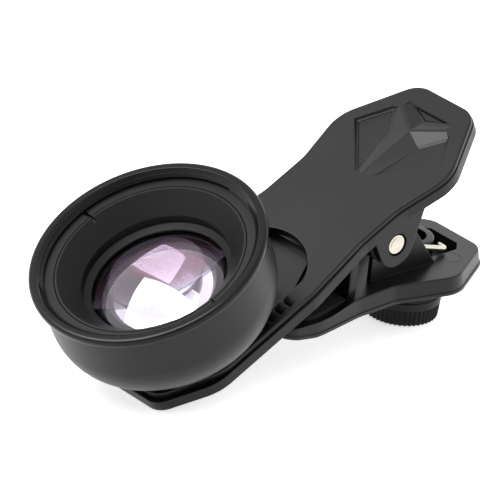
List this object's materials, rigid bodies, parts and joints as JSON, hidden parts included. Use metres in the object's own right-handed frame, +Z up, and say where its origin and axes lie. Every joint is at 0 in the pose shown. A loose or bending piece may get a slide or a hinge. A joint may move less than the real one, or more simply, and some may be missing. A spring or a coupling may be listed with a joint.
{
  "type": "clip-on macro lens",
  "caption": "Sprung two-arm clip with a sliding lens carriage, a clamp knob below and a wide black macro lens screwed into the carriage.",
  "frame": {"origin": "centre of the bounding box at the surface that the clip rests on", "axes": "+Z up as it rests; +X from the lens to the rear grips; the lower arm lies level and the upper arm rises to the rear"},
  "size_m": [0.0906, 0.041, 0.0392],
  "materials": {
    "black_abs": "moulded, fine satin texture",
    "black_rubber": "soft matt",
    "plated_steel": "bright plated, dished ends",
    "spring_steel": "bright drawn wire",
    "zinc_steel": "zinc plated",
    "brass": "turned",
    "anodised_aluminium": "black anodised, fine satin",
    "polished_black_aluminium": "black, semi-gloss",
    "coated_glass": "polished, magenta and green coating"
  },
  "bodies": {
    "base": {"lower_arm": "black_abs", "jaw_pad": "black_rubber", "hinge_pin": "plated_steel", "torsion_spring": "spring_steel", "screw_insert": "brass"},
    "foot": {"clamp_foot": "black_rubber"},
    "knob": {"clamp_screw": "zinc_steel", "clamp_knob": "black_abs"},
    "arm": {"upper_arm": "black_abs"},
    "carriage": {"lens_carriage": "black_abs", "mount_ring": "anodised_aluminium"},
    "lens": {"lens_barrel": "anodised_aluminium", "front_ring": "polished_black_aluminium", "retaining_ring": "anodised_aluminium", "baffle_cone": "anodised_aluminium", "front_element": "coated_glass", "spacer_ring": "anodised_aluminium", "middle_element": "coated_glass", "rear_element": "coated_glass", "rear_mount": "anodised_aluminium"}
  },
  "joints": [
    {"name": "clip_hinge", "type": "hinge", "parent": "base", "child": "arm", "pos_m": [0.01842, 0, 0.02135], "axis": [0, 1, 0], "range_deg": [0, 34], "stiffness_Nm_per_rad": 0.1, "springref_deg": -34.38, "deforming": ["torsion_spring"]},
    {"name": "screw_travel", "type": "slide", "parent": "base", "child": "foot", "axis": [0, 0, 1], "range_m": [0, 0.0035]},
    {"name": "knob_turn", "type": "hinge", "parent": "foot", "child": "knob", "pos_m": [0.03322, 0, 0.02135], "axis": [0, 0, 1], "range_deg": [0, 2101]},
    {"name": "carriage_slide", "type": "slide", "parent": "arm", "child": "carriage", "axis": [0.8829, 0, 0.4695], "range_m": [0, 0.006]},
    {"name": "lens_removal", "type": "slide", "parent": "carriage", "child": "lens", "axis": [-0.4695, 0, 0.8829], "range_m": [0, 0.012]}
  ],
  "couplings": [
    {"joint": "knob_turn", "follows": "screw_travel", "rad_per_m": 10472}
  ]
}
